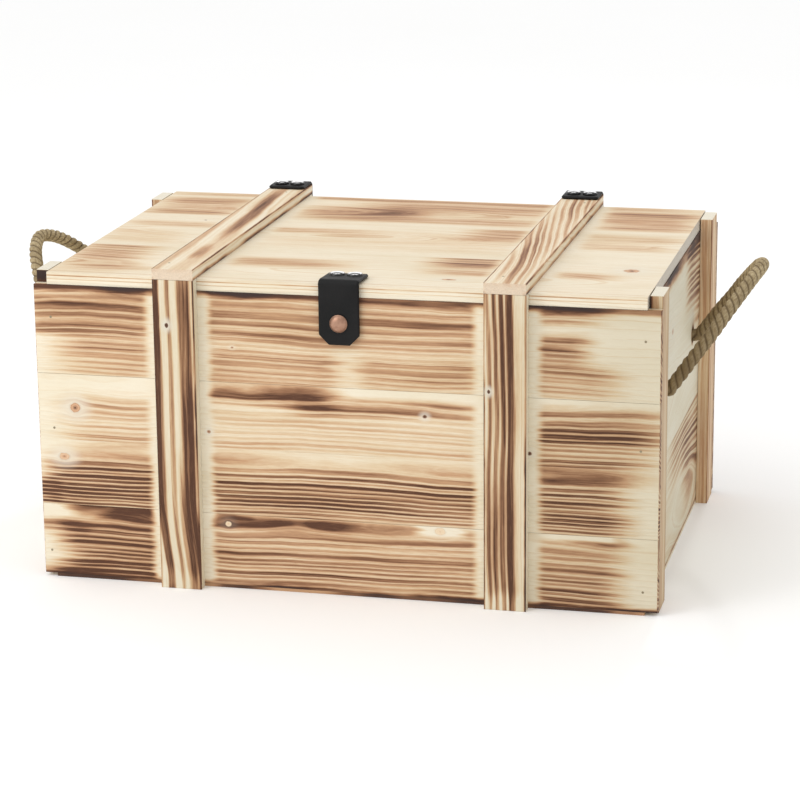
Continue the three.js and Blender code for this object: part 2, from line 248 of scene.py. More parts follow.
def group(name, numbers, found, build):
    """A node group on the grain's place. numbers names its other inputs, found each output and its kind."""
    tree = bpy.data.node_groups.new(name, "ShaderNodeTree")
    inputs = {"Grain": "Vector", **dict.fromkeys(numbers, "Float")}
    for sockets, way in ((inputs, "INPUT"), (found, "OUTPUT")):
        for socket, kind in sockets.items():
            tree.interface.new_socket(socket, in_out=way, socket_type="NodeSocket" + kind)
    n = Nodes(tree)
    entry = tree.nodes.new("NodeGroupInput")
    leave = tree.nodes.new("NodeGroupOutput")
    for socket, value in build(n, {socket: Value(n, entry.outputs[socket]) for socket in inputs}).items():
        n.feed(leave.inputs[socket], value)
    return tree


def call(n, tree, inputs):
    """Puts a node group into a tree, and returns its outputs by name."""
    node = n.add("Group")
    node.node_tree = tree
    for key, value in inputs.items():
        n.feed(node.inputs[key], value)
    return {socket.name: Value(n, socket) for socket in node.outputs}


def material(name, build, **constants):
    """A material. build works out its colour, roughness and normal. constants go on the shader's sockets."""
    mat = bpy.data.materials.new(name)
    mat.use_nodes = True
    n = Nodes(mat.node_tree)
    shader = mat.node_tree.nodes["Principled BSDF"]
    for key, value in constants.items():
        shader.inputs[key.replace("_", " ")].default_value = value
    for key, value in build(n).items():
        n.feed(shader.inputs[key], value)
    return mat


# ---------------------------------------------------------------- flamed spruce


def build_patch(n, i):
    """A soft-edged rectangle on the grain plane."""
    along, across, _ = n.split(i["Grain"])
    mask = 1.0
    for value, way in ((along, "Along"), (across, "Across")):
        half, soft = i[f"Half {way}"], i[f"Soft {way}"]
        mask = mask * n.step(abs(value - i[way]), half - soft, half + soft, 1.0, 0.0)
    return {"Mask": mask}


PATCH = group("soft patch", ("Along", "Across", "Half Along", "Half Across", "Soft Along", "Soft Across"),
              {"Mask": "Float"}, build_patch)


def build_knot(n, i):
    """Bends the grain round a knot, and draws its core and rim. The grain closes up again on both sides."""
    along, across, depth = n.split(i["Grain"])
    u = (along - i["Along"]) / i["Stretch"]
    v = across - i["Across"]
    squares = u * u + v * v
    reach = i["Radius"] * i["Radius"]
    flow = reach * 1.6 / (squares + reach * 0.6)
    bent = across - v * n.least(flow, 1.0)
    ratio = n.math("SQRT", squares) / i["Radius"]
    ragged = ratio + n.swing(i["Grain"], 400.0) * 0.5
    core = n.step(ragged, 0.85, 1.1, 1.0, 0.0)
    rim = n.step(ragged, 0.7, 1.0) * n.step(ragged, 1.0, 1.35, 1.0, 0.0)
    rings = n.math("SINE", ragged * 17.0) * 0.08
    middle = n.step(ragged, 0.12, 0.5, 0.8, 0.0) * i["Tone"]
    return {"Grain": n.join(along, bent, depth), "Core": core, "Rim": rim * i["Outline"],
            "Halo": n.step(ratio, 1.0, 4.2, 1.0, 0.0), "Tone": core * (i["Tone"] + rings + middle)}


KNOT = group(
    "knot", ("Along", "Across", "Radius", "Stretch", "Tone", "Outline"),
    {"Grain": "Vector", "Core": "Float", "Rim": "Float", "Halo": "Float", "Tone": "Float"}, build_knot)

SCORCH_STOPS = [
    (0.0, (235, 225, 203)), (0.2, (222, 199, 165)), (0.42, (197, 156, 119)),
    (0.7, (146, 104, 74)), (1.0, (86, 53, 35))]
KNOT_STOPS = [(0.0, (236, 218, 186)), (0.5, (206, 160, 124)), (1.0, (84, 54, 40))]


def ring_place(n, i, along, across, depth):
    """How many growth rings from the pith, with the boards' slow drift, waves and small ripples."""
    seed = i["Seed"]
    a = across - i["Pith Across"] + n.swing(n.join(along * 2.6, seed), 1.0, 1.0) * i["Wander"]
    d = depth - i["Pith Depth"] + n.swing(n.join(along * 3.4, seed, 4.0), 1.0, 1.0) * i["Wander"]
    wave = n.swing(n.join(along * 9.0, across * 14.0, seed)) * (5.0 * MM)
    ripple = n.swing(n.scaled(i["Grain"], (14.0, 90.0, 90.0)), 1.0, 3.0) * (1.4 * MM)
    rings = (n.length(a, d) + wave + ripple) / i["Ring"]
    return rings + n.noise(n.join(rings * 0.3, seed, 9.0), 1.0, 1.0) * 1.6


def build_wood(n, i):
    """Growth rings round a pith, darkened by scorching, brushed so that the hard rings stand proud."""
    along, across, depth = n.split(i["Grain"])
    seed, scorch, ground = i["Seed"], i["Scorch"], i["Ground"]
    count = ring_place(n, i, along, across, depth)
    index = n.math("FLOOR", count)
    part = count - index
    chance = n.random(n.join(index, seed))
    other_chance = n.random(n.join(index, seed, 7.0))
    rise = n.step(part, 0.04, chance * 0.34 + 0.2)
    fall = n.step(part, other_chance * 0.26 + 0.5, 0.96, 1.0, 0.0)
    band = rise * fall
    line = n.least(n.step(part, 0.86, 0.97) + n.step(part, 0.0, 0.07, 1.0, 0.0), 1.0)

    flame_at = n.scaled(i["Grain"], (6.0, 55.0, 20.0))
    flame = n.noise(n.take(0, "VectorMath", {0: flame_at, 1: n.join(seed, 0.0)}, operation="ADD"))
    streaks = n.noise(n.join(along * 6.0, count * 3.6, seed), 1.0, 3.0, 0.6)
    heat = scorch * n.step(flame, 0.25, 0.7, 0.76, 1.2) * (other_chance * 0.62 + 0.6)
    heat = heat * n.step(streaks, 0.3, 0.7, 0.72, 1.22)
    dark = heat * (band * (1.0 - ground) + ground)
    soft_tan = n.step(scorch, 0.0, 0.5, 0.12, 0.18) * (line * n.step(chance, 0.2, 1.0, 0.4, 1.1))
    tone = n.least(dark + soft_tan + i["Burn"], 1.0)

    fibre = n.noise(n.scaled(i["Grain"], (80.0, 900.0, 900.0)), 1.0, 4.0, 0.65)
    grainy = (fibre - 0.5) * (n.least(scorch, 1.0) * 0.16 + 0.2)
    tone = n.most(tone + grainy, 0.0)
    wood = n.ramp(tone, SCORCH_STOPS)
    wood = n.mix(n.step(i["Burn"], 0.5, 1.0), wood, (58, 42, 38))
    blotch = n.noise(n.scaled(i["Grain"], (7.0, 24.0, 24.0)))
    wood = n.mix(n.step(blotch, 0.35, 0.75, 0.0, 0.35), wood, (236, 230, 212), "MULTIPLY")
    wood = n.mix(i["Knot Halo"], wood, (224, 216, 200))
    wood = n.mix(i["Knot Core"], wood, n.ramp(i["Knot Tone"], KNOT_STOPS))
    wood = n.mix(i["Knot Rim"] * 0.8, wood, (104, 72, 54))
    relief = (1.0 - band) * 0.75 + fibre * 0.25 - i["Knot Rim"] * 0.8
    return {"Color": wood, "Roughness": tone * 0.16 + 0.56, "Height": relief}


WOOD = group("flamed spruce", (
    "Seed", "Pith Across", "Pith Depth", "Ring", "Wander", "Scorch", "Burn", "Ground",
    "Knot Core", "Knot Rim", "Knot Halo", "Knot Tone"),
    {"Color": "Color", "Roughness": "Float", "Height": "Float"}, build_wood)

AXES = {"X": 0, "Y": 1, "Z": 2}


@dataclass
class Board:
    """One board's wood. Places are in millimetres, along the grain first and then across it."""

    name: str
    axes: str  # along the grain, across it, and through the board
    pith: tuple  # across and through
    ring: float = 4.2  # a growth ring's width
    wander: float = 12.0  # how far the pith drifts along the board
    slant: float = 0.0  # of the grain
    lean: tuple = None  # the grain leans sideways between two places along it, by this much
    second_pith: tuple = None  # beyond a seam across the board, the rings turn about this place
    fray: float = 5.0  # how ragged the patches are across the grain
    scorch: float = 0.0  # all over, before the patches
    ground: float = 0.22  # how much scorch shows between the dark rings
    patches: tuple = ()
    knots: tuple = ()
    halo: float = 0.3  # how pale the wood is round a knot
    clear: tuple = None  # distances from the battens where scorch starts and is full
    face: tuple = None  # the outside face's axis, and where scorch starts and is full on it
    edges: tuple = ()  # burnt ones
    burn_on_face: bool = False
    hole_burn: bool = False
    burnt_ends: bool = False
    shaded_right_end: bool = False  # painted shade: darker and greyer towards its right end
    tint: tuple = (255, 255, 255)
    ends: tuple = None  # the sawn ends' axis, place and colour

    def build(self, n):
        seed = (sum(ord(c) * (k + 3) for k, c in enumerate(self.name)) % 97) * 1.37
        place = n.place()
        xyz = n.split(place)
        along, across, depth = (xyz[AXES[a]] for a in self.axes)
        if self.lean is not None:
            start, end, shift = self.lean
            across = across - n.step(along, end * MM, start * MM, shift * MM, 0.0)
        grain, knots = self.add_knots(n, n.join(along, across + along * self.slant, depth))
        pith_across, pith_depth = self.pith_place(n, across)
        wood = call(n, WOOD, {
            "Grain": grain, "Seed": seed, "Pith Across": pith_across, "Pith Depth": pith_depth,
            "Ring": self.ring * MM, "Wander": self.wander * MM, "Ground": self.ground,
            "Scorch": self.scorching(n, xyz, along, across, seed),
            "Burn": self.burning(n, xyz, along, across, depth), **knots})
        tinted = n.mix(1.0, wood["Color"], self.tint, "MULTIPLY")
        # painted shade: the wood darkens and greys towards the right end, from 90 mm to 290 mm
        if self.shaded_right_end:
            tinted = n.mix(n.step(xyz[0], 90 * MM, 290 * MM), tinted, (232, 231, 226), "MULTIPLY")
        if self.ends is not None:
            tinted = self.end_grain(n, xyz, place, tinted)
        return {"Base Color": tinted, "Roughness": wood["Roughness"],
                "Normal": n.bump(wood["Height"], 0.35 * MM, 0.8)}

    def end_grain(self, n, xyz, place, wood):
        """Sawn end grain is plainer than the board's faces."""
        axis, end, tint = self.ends
        at_end = n.step(abs(xyz[AXES[axis]]), (end - 0.4) * MM, (end - 0.1) * MM, 0.0, 0.85)
        dark = tuple(0.88 * c for c in tint)
        sawn = n.mix(n.step(n.noise(place, 1400.0, 3.0, 0.7), 0.3, 0.7), dark, tint)
        return n.mix(at_end, wood, sawn)

    def pith_place(self, n, across):
        if self.second_pith is None:
            return self.pith[0] * MM, self.pith[1] * MM
        seam, *second = self.second_pith
        beyond = n.math("GREATER_THAN", across, seam * MM)
        return [beyond * ((b - a) * MM) + a * MM for a, b in zip(self.pith, second)]

    def add_knots(self, n, grain):
        """The grain, bent round each knot, and what the wood needs to draw them all."""
        drawn = dict.fromkeys(("Core", "Rim", "Halo", "Tone"), 0.0)
        for along, across, radius, stretch, tone, outline in self.knots:
            found = call(n, KNOT, {
                "Grain": grain, "Along": along * MM, "Across": across * MM, "Radius": radius * MM,
                "Stretch": stretch, "Tone": tone, "Outline": outline})
            grain = found["Grain"]
            drawn = {part: n.most(value, found[part]) for part, value in drawn.items()}
        drawn["Halo"] = drawn["Halo"] * self.halo
        return grain, {f"Knot {part}": value for part, value in drawn.items()}

    def scorching(self, n, xyz, along, across, seed):
        """How much the flame caught each place, from 0 to about 1."""
        streak = n.swing(n.join(along * 3.0, across * 160.0, seed))
        bend = n.swing(n.join(along * 8.0, across * 6.0, seed), 1.0, 1.0)
        shifted = n.join(along + streak * (34 * MM), across + streak * (self.fray * MM) + bend * (9 * MM))
        total = self.scorch
        for u, v, half_u, half_v, soft_u, soft_v, strength in self.patches:
            found = call(n, PATCH, {
                "Grain": shifted, "Along": u * MM, "Across": v * MM, "Half Along": half_u * MM,
                "Half Across": half_v * MM, "Soft Along": soft_u * MM, "Soft Across": soft_v * MM})
            total = total + found["Mask"] * strength
        total = n.most(total, 0.0)
        if self.clear is not None:
            total = total * self.beside_batten(n, xyz, streak)
        if self.face is not None:
            total = total * self.on_face(n, xyz)
        if self.burnt_ends:
            at_end = n.step(abs(xyz[0]), (LENGTH_HALF - 0.8) * MM, (LENGTH_HALF - 0.1) * MM)
            total = n.most(total, at_end * 0.85)
        return total

    def beside_batten(self, n, xyz, streak):
        """No scorch next to the battens, which covered the panel there."""
        low, high = self.clear
        distance = abs(abs(xyz[0]) - HINGE_X) - BATTEN_HALF
        return n.step(distance + streak * (6 * MM), low * MM, high * MM)

    def on_face(self, n, xyz):
        """Only the outside face is scorched."""
        axis, start, full = self.face
        return n.step(abs(xyz[AXES[axis]]), start * MM, full * MM)

    def burning(self, n, xyz, along, across, depth):
        """Black burnt edges: each is the line where two planes meet, the burn's reach and its strength."""
        ragged = n.swing(n.join(along * 26.0, across * 150.0, depth * 150.0), 1.0, 3.0)
        uneven = n.step(n.noise(n.join(along, across, depth), 11.0, 2.0), 0.35, 0.6, 0.5, 1.0)
        total = 0.0
        for axis, edge, other, other_edge, reach, strength in self.edges:
            distance = self.from_line(n, xyz, axis, edge, other, other_edge) + ragged * (0.9 * reach * MM)
            found = n.step(distance, 0.1 * reach * MM, reach * MM, strength, 0.0)
            total = n.most(total, found * uneven)
        if self.burn_on_face:
            total = total * self.on_face(n, xyz)
        if self.hole_burn:
            distance = self.from_line(n, (0.0, abs(xyz[1]), xyz[2]), "Y", HANDLE_Y / MM, "Z", HANDLE_Z / MM)
            burn = n.step(distance + ragged * (5 * MM), 8.5 * MM, 13 * MM, 0.6, 0.0)
            total = n.most(total, burn)
        return total

    @staticmethod
    def from_line(n, xyz, axis, edge, other, other_edge):
        """The distance from the line where axis is at edge and the other axis at other_edge."""
        return n.length(xyz[AXES[axis]] - edge * MM, xyz[AXES[other]] - other_edge * MM)


# Each patch: centre along and across, half size along and across, softness along and across, strength.
FRONT_PATCHES = {
    "upper": [
        (-245, 270, 62, 28, 14, 7, 0.64), (-228, 224, 50, 20, 30, 8, 0.5),
        (0, 268, 132, 26, 10, 8, 0.56), (-68, 222, 66, 20, 18, 8, 0.6), (74, 222, 60, 18, 18, 8, 0.5),
        (206, 281, 34, 8, 26, 4, 0.66), (203, 250, 26, 14, 18, 6, 0.75), (215, 222, 44, 16, 26, 6, 0.45),
        (262, 288, 30, 2, 20, 2, 0.3),
    ],
    "middle": [
        (-228, 98, 62, 26, 22, 7, 1.1), (-298, 86, 16, 13, 8, 5, 0.85), (-222, 154, 50, 30, 30, 12, 0.4),
        (-74, 195, 62, 11, 24, 5, 0.95), (46, 186, 84, 8, 26, 5, 0.7), (0, 152, 132, 26, 12, 10, 0.3),
        (0, 98, 132, 30, 10, 7, 0.82), (222, 98, 44, 34, 26, 12, 0.84), (230, 180, 70, 17, 38, 6, 0.72),
        (228, 146, 60, 22, 34, 10, 0.66),
    ],
    "lower": [
        (-222, 40, 56, 44, 22, 6, 1.1), (-285, 52, 26, 7, 12, 4, 0.7), (-276, 65, 36, 4.5, 14, 2.5, -0.6),
        (-210, 66, 26, 8, 12, 4, 0.2), (0, 40, 134, 34, 8, 6, 0.74), (-60, 66, 66, 6, 20, 3, 0.35),
        (94, 70, 20, 5, 9, 3, -0.8), (222, 38, 42, 38, 22, 8, 0.74), (224, 74, 34, 4, 12, 3, -0.8),
        (-272, 8, 34, 5, 20, 4, 0.4),
    ],
}
# Each knot: centre along and across, radius, stretch along the grain, tone from pale to dark, and outline.
FRONT_KNOTS = {
    "upper": [(-105, 238, 1.0, 1.4, 0.6, 0.2)],
    "middle": [
        (-263, 171, 4.8, 1.1, 0.52, 0.15), (-276, 122.5, 3.6, 1.5, 0.36, 0.2),
        (-130, 154.5, 1.6, 1.1, 0.6, 0.3), (80, 180.6, 1.7, 1.2, 0.9, 0.4), (179, 150.6, 1.9, 1.1, 0.9, 0.3),
    ],
    "lower": [(-113, 64, 2.8, 1.1, 0.12, 0.3), (94, 69.5, 3.6, 1.5, 0.1, 0.1)],
}
# Each level of a long wall: its pith's height and depth behind the face, ring width, ground and halo.
LONG_LEVELS = {
    "upper": (306, 50, 5.0, 0.4, 0.2),
    "middle": (131, 14, 3.8, 0.3, 0.62),
    "lower": (70, 24, 4.2, 0.33, 0.08),
}
SECOND_PITH = (139, 201, 32)  # the middle board's: the seam's height, then this pith's height and depth
LONG_BURNS = {"upper": (WALL_TOP, 8.0), "lower": (WALL_FOOT, 5.0)}  # a burnt edge's height and reach


def long_wall_boards():
    for wall, side in WALLS:
        face = side * WALL_FACE
        for level, (across, deep, ring, ground, halo) in LONG_LEVELS.items():
            seam, second_across, second_deep = SECOND_PITH
            second = (seam, second_across, side * (WALL_FACE - second_deep)) if level == "middle" else None
            patches, knots = FRONT_PATCHES[level], FRONT_KNOTS[level]
            if wall == "back":
                patches = [(-along, *rest) for along, *rest in patches]
                knots = [(-along * 0.8, *rest) for along, *rest in knots]
                across += 5
            edges = []
            if level in LONG_BURNS:
                height, reach = LONG_BURNS[level]
                edges = [("Z", height, "Y", face, reach, 0.95)]
            yield Board(
                f"{wall}_board_{level}", "XZY", (across, side * (WALL_FACE - deep)), ring=ring, wander=7.0,
                patches=patches, knots=knots, clear=(5, 16), face=("Y", WALL_FACE - 5, WALL_FACE - 1.5),
                edges=edges, second_pith=second, burnt_ends=True, shaded_right_end=True, halo=halo, ground=ground)


# Dark stripes of the upright battens, as patches whose place across is from the batten's middle.
BATTEN_STRIPES = {
    "left": [
        (150, -17.2, 170, 3.8, 6, 1.5, 1.05), (150, -4.8, 170, 1.9, 6, 1.4, 0.85),
        (225, 10.5, 90, 6.2, 30, 2.2, 1.0), (130, 11.5, 60, 5.5, 40, 2.6, 0.7),
        (50, 8.0, 70, 7.4, 36, 2.2, 1.15), (30, 16.0, 40, 4.0, 20, 2.0, 0.6),
    ],
    "right": [
        (150, -14.6, 170, 1.7, 6, 1.2, 0.75), (150, -8.2, 170, 1.7, 6, 1.2, 0.85),
        (150, -1.6, 170, 2.0, 6, 1.2, 0.95), (160, 6.0, 170, 3.1, 6, 1.6, 1.05),
        (70, -1.0, 60, 14.0, 40, 5.0, 0.35), (230, 2.0, 60, 14.0, 40, 5.0, 0.25),
    ],
}
BATTEN_KNOTS = {"left": (259.5, -165, 1.9, 1.3, 1.0, 0.2), "right": (211, 143, 1.5, 1.3, 1.0, 0.2)}


def batten_boards():
    for wall, side in WALLS:
        face = side * UPRIGHT_FACE
        for name, hand in HANDS:
            x = hand * BATTEN_X
            knot = BATTEN_KNOTS[name]
            if wall == "back":
                knot = (knot[0] - 120, knot[1] + 9, *knot[2:])
            stripes = [(z, x - side * across, *rest) for z, across, *rest in BATTEN_STRIPES[name]]
            yield Board(
                f"{wall}_batten_{name}", "ZXY", (x - 48, side * (UPRIGHT_FACE - 28)), ring=7.0, wander=10.0,
                fray=1.5, scorch=0.1, ground=0.75, patches=[*stripes, (4, x, 10, 24, 8, 10, -0.4)],
                knots=[knot], halo=0.85, face=("Y", UPRIGHT_FACE - 3.5, UPRIGHT_FACE - 0.5),
                tint=(244, 245, 243), lean=(95, 5, 8) if name == "left" else None,
                edges=[("X", x - BATTEN_EDGE, "Y", face, 2.2, 0.85),
                       ("X", x + BATTEN_EDGE, "Y", face, 2.6, 0.95)])


def cleat_boards():
    for wall, side in WALLS:
        face = side * CLEAT_FACE
        for name, hand in HANDS:
            outer, inner = hand * LENGTH_HALF, hand * END_X
            edges = [("X", outer, "Y", side * (CLEAT_FACE - CLEAT_WIDE), 2.0, 0.6),
                     ("X", outer, "Y", face, 1.6, 0.7), ("X", inner, "Y", face, 2.6, 0.9)]
            if name == "left":
                edges += [("Z", LID_FACE - up, "Y", face, 12.0, 1.0) for up in (5, 1)]
            yield Board(
                f"corner_cleat_{wall}_{name}", "ZYX", (side * 150, hand * 262), ring=7.0, scorch=0.42,
                ground=0.55, edges=edges, face=("Z", LID_FACE - 0.4, LID_FACE - 1), burn_on_face=True,
                ends=("Z", LID_FACE, (240, 232, 214)),
                tint=(236, 237, 232) if wall == "front" else (255, 255, 252))


def end_boards():
    for name, hand in HANDS:
        face = hand * END_X
        common = {"face": ("X", END_X - 8, END_X - 2), "tint": (236, 240, 240)}
        yield Board(
            f"{name}_end_board_lower", "YZX", (40, hand * 215), ring=4.4, wander=30.0, scorch=0.12,
            patches=[(130, 70, 70, 50, 40, 30, 0.6), (20, 100, 60, 24, 40, 12, 0.5)],
            edges=[("Z", WALL_FOOT, "X", face, 6.0, 0.6)], **common)
        yield Board(
            f"{name}_end_board_upper", "YZX", (170, hand * 225), ring=5.2, wander=60.0, scorch=0.05,
            patches=[(140, 262, 70, 30, 30, 16, 0.95), (160, 215, 40, 30, 30, 20, 0.35)],
            edges=[("Z", WALL_TOP, "X", face, 16.0, 0.9)], hole_burn=True,
            knots=[(-40, 232, 3.0, 1.6, 0.4, 0.15)], **common)


LID_PATCHES = {
    "front": [
        (-76, -124, 58, 16, 34, 14, 0.52), (106, -86, 36, 30, 28, 18, 0.56), (104, -134, 36, 12, 28, 9, 0.4),
        (-255, -120, 34, 60, 26, 30, 0.43), (-225, -170, 40, 8, 30, 5, 0.32),
        (212, -128, 30, 12, 24, 9, 0.36),
    ],
    "middle": [
        (-85, 28, 60, 10, 34, 8, 0.4), (0, 0, 130, 40, 60, 26, 0.18), (108, 36, 34, 32, 26, 22, 0.42),
        (230, 6, 46, 14, 28, 10, 0.44), (232, 44, 50, 14, 28, 10, 0.4), (-236, 38, 48, 12, 26, 9, 0.41),
        (-250, -20, 38, 30, 24, 20, 0.26),
    ],
    "back": [
        (-62, 128, 60, 26, 30, 16, 0.54), (40, 150, 100, 38, 50, 22, 0.46), (20, 96, 120, 12, 50, 10, 0.34),
        (236, 150, 50, 28, 26, 15, 0.54), (240, 104, 46, 16, 26, 10, 0.46), (-236, 140, 46, 32, 26, 18, 0.5),
        (-240, 98, 44, 10, 24, 8, 0.43), (0, 196, 280, 8, 60, 6, 0.29),
    ],
}
LID_PITH = {"front": (-150, 235), "middle": (10, 225), "back": (130, 240)}
LID_KNOTS = {"front": [(256, -97, 7.0, 1.1, 0.52, 0.1), (95, -165, 3.0, 2.4, 0.5, 0.1)],
             "middle": [(-210, 60, 1.3, 1.3, 0.8, 0.2)], "back": []}
LID_FRONT_LINES = [
    ("Y", -204, "Z", 299.8, 0.9, 0.5), ("Y", -204, "Z", 296.4, 0.7, 0.35),
    ("Y", -197, "Z", LID_FACE, 0.8, 0.45)]
# Each lid batten's pith, across from its middle and up, its ring width, the grain's slant, and its patches,
# whose place across is from its middle too.
LID_BATTENS = {
    "left": ((34, 262), 13.0, 0.0,
             [(-132, 0, 26, 8, 18, 6, 0.55), (30, 2, 90, 7, 50, 5, 0.5), (130, -6, 50, 8, 40, 5, 0.4)]),
    "right": ((-52, 280), 6.0, 0.09, [(0, 0, 190, 14, 40, 8, 0.3)]),
}


def lid_boards():
    for part, patches in LID_PATCHES.items():
        yield Board(
            f"lid_board_{part}", "XYZ", LID_PITH[part], ring=3.6, wander=26.0, scorch=0.07, ground=0.66,
            patches=patches, knots=LID_KNOTS[part], clear=(2, 20), face=("Z", LID_FACE - 6, LID_FACE - 1),
            edges=LID_FRONT_LINES if part == "front" else (), ends=("X", END_X - 1, (196, 188, 176)))
    top = LID_BATTEN_FACE
    for name, hand in HANDS:
        x = hand * BATTEN_X
        low, high = x - BATTEN_EDGE, x + BATTEN_EDGE
        (pith_across, pith_up), ring, slant, patches = LID_BATTENS[name]
        yield Board(
            f"lid_batten_{name}", "YXZ", (x + pith_across, pith_up), ring=ring, wander=22.0, slant=slant,
            scorch=0.3, ground=0.12, patches=[(along, x + across, *rest) for along, across, *rest in patches],
            face=("Z", top - 4.5, top - 1.5), ends=("Y", UPRIGHT_FACE, (226, 202, 176)),
            edges=[("X", low, "Z", top, 1.6, 0.8), ("X", high, "Z", top, 2.0, 0.85),
                   ("X", low, "Z", LID_FACE, 4.0, 0.85), ("X", high, "Z", LID_FACE, 5.0, 0.85)])


def plain_boards():
    edges = [("Y", face / MM, "Z", 1.5, 7.0, 0.85) for face in (BOX_FRONT, BOX_BACK)]
    yield Board("bottom_plate", "XYZ", (0, -60), ring=7.0, wander=30.0, scorch=0.05, edges=edges)


def bevel(obj, width):
    modifier = obj.modifiers.new("edge", "BEVEL")
    modifier.width = width
    modifier.segments = 2
    modifier.limit_method = "ANGLE"


def dress_wood():
    for boards in (long_wall_boards, batten_boards, cleat_boards, end_boards, lid_boards, plain_boards):
        for board in boards():
            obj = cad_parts[board.name]
            obj.data.materials.clear()
            obj.data.materials.append(material(f"wood_{board.name}", board.build, Specular_IOR_Level=0.35))
            if "board" not in board.name:
                bevel(obj, 0.35 * MM)


# ---------------------------------------------------------------- leather, metal and rope materials


def build_leather(n):
    place = n.place()
    cells = n.take("Distance", "TexVoronoi", {"Vector": place, "Scale": 900.0}, feature="DISTANCE_TO_EDGE")
    pebble = n.step(cells, 0.0, 0.35)
    crease = n.noise(place, 160.0, 4.0, 0.6)
    worn = n.noise(place, 45.0, 3.0)
    tint = n.mix(n.step(worn, 0.3, 0.75), (17, 17, 17), (28, 27, 27))
    tint = n.mix(n.step(pebble, 0.0, 0.5, 0.35, 0.0), tint, (9, 9, 9))
    return {"Base Color": tint, "Roughness": n.step(worn, 0.3, 0.8, 0.44, 0.6),
            "Normal": n.bump(pebble * 0.4 + crease * 0.6, 0.18 * MM, 0.7)}


def metal_builder(base, cloud_tint, roughness):
    def build(n):
        place = n.place()
        cloud = n.noise(place, 260.0, 3.0)
        scratch = n.noise(place, 2600.0, 2.0)
        tint = n.mix(n.step(cloud, 0.35, 0.75), base, cloud_tint)
        rough = n.step(cloud, 0.3, 0.8, roughness, roughness + 0.14)
        return {"Base Color": tint, "Roughness": rough, "Normal": n.bump(scratch, 0.01 * MM, 0.5)}
    return build


def build_rope(n):
    """Jute yarns along the rope, with painted shade between the strands.

    The UV map's u is the turn round the rope, and v the place along it from the rope's middle."""
    turn, along, _ = n.split(n.place("UV"))
    lobe = n.math("FRACT", (turn + along / LAY) * 3.0)
    # painted shade: darker in the valleys between the strands
    strand_valley_shade = n.step(abs(lobe - 0.5), 0.26, 0.5)
    # darker from 30 mm to 150 mm away from the rope's middle, towards both ends
    darker_to_ends = n.step(abs(along), 30 * MM, 150 * MM, 0.0, 0.62)
    yarns = n.noise(n.join(turn * 26.0, along * 220.0), 1.0, 3.0, 0.6)
    fibre = n.noise(n.join(turn * 90.0, along * 400.0, 5.0), 1.0, 3.0, 0.7)
    patch = n.noise(n.join(turn * 2.0, along * 30.0, 2.0))
    tint = n.mix(n.step(yarns, 0.3, 0.7), (150, 131, 98), (193, 176, 141))
    tint = n.mix(n.step(fibre, 0.55, 0.8, 0.0, 0.5), tint, (220, 206, 172))
    tint = n.mix(n.step(patch, 0.42, 0.72, 0.0, 0.55), tint, (114, 96, 68))
    tint = n.mix(darker_to_ends, tint, (112, 92, 62))
    tint = n.mix(strand_valley_shade * 0.72, tint, (80, 62, 42))
    return {"Base Color": tint, "Roughness": n.step(fibre, 0.2, 0.8, 0.95, 0.8),
            "Normal": n.bump(yarns * 0.6 + fibre * 0.4, 0.8 * MM, 0.9)}


# ---------------------------------------------------------------- mesh building


def add_piece(name, vertices, faces, mat, slot_name):
    mesh = bpy.data.meshes.new(name)
    mesh.from_pydata([tuple(v) for v in vertices], [], faces)
    mesh.materials.append(mat)
    mesh.polygons.foreach_set("use_smooth", [True] * len(mesh.polygons))
    mesh.update()
    obj = bpy.data.objects.new(name, mesh)
    bpy.context.scene.collection.objects.link(obj)
    return obj


def band(start, end, size):
    """The faces between two rings of vertices, each given by its first vertex."""
    turns = [(k, (k + 1) % size) for k in range(size)]
    return [(start + k, start + nxt, end + nxt, end + k) for k, nxt in turns]


def skin(rings, closed_ends=True):
    """Vertices and faces that join rings of equal size, in order, with the end rings closed."""
    size = len(rings[0])
    vertices = [v for ring in rings for v in ring]
    faces = [face for r in range(len(rings) - 1) for face in band(r * size, (r + 1) * size, size)]
    if closed_ends:
        faces.append(tuple(reversed(range(size))))
        faces.append(tuple((len(rings) - 1) * size + k for k in range(size)))
    return vertices, faces


def around(radius, angle, height):
    return Vector((radius * math.cos(angle), radius * math.sin(angle), height))


def lathe(profile, sides=48):
    """A closed body round +Z from its (radius, height) profile, which starts and ends on the axis."""
    vertices = [Vector((0, 0, profile[0][1]))]
    for radius, height in profile[1:-1]:
        vertices += [around(radius, 2 * math.pi * k / sides, height) for k in range(sides)]
    vertices.append(Vector((0, 0, profile[-1][1])))
    faces = []
    last = len(vertices) - 1
    for k in range(sides):
        nxt = (k + 1) % sides
        faces.append((0, 1 + nxt, 1 + k))
        for r in range(len(profile) - 3):
            base = 1 + r * sides
            faces.append((base + k, base + nxt, base + sides + nxt, base + sides + k))
        base = 1 + (len(profile) - 3) * sides
        faces.append((base + k, base + nxt, last))
    return vertices, faces


# ---------------------------------------------------------------- rope handles

LAY = 27 * MM  # one full turn of a strand
STRAND_POINTS = 20
ROPE_STEP = 1.0 * MM

# The right-hand loop's route from its front hole to its apex, in millimetres, as in the CAD.
HANDLE_ROUTE = [
    (295, -110, 193), (302, -108, 203), (310.5, -103.5, 215), (320, -96.5, 228), (330.5, -87, 242),
    (341.5, -73, 258), (352.5, -54, 273), (362.5, -29.5, 286), (368, 0, 292)]
KNOT_X = 262.2 * MM  # the ropes' ends, just inside the end walls
KNOT_RADIUS = 5.6 * MM  # of the knotted rope, which is pulled thinner
TAIL_RADIUS = 6.2 * MM
TAIL_LONG = 22  # mm


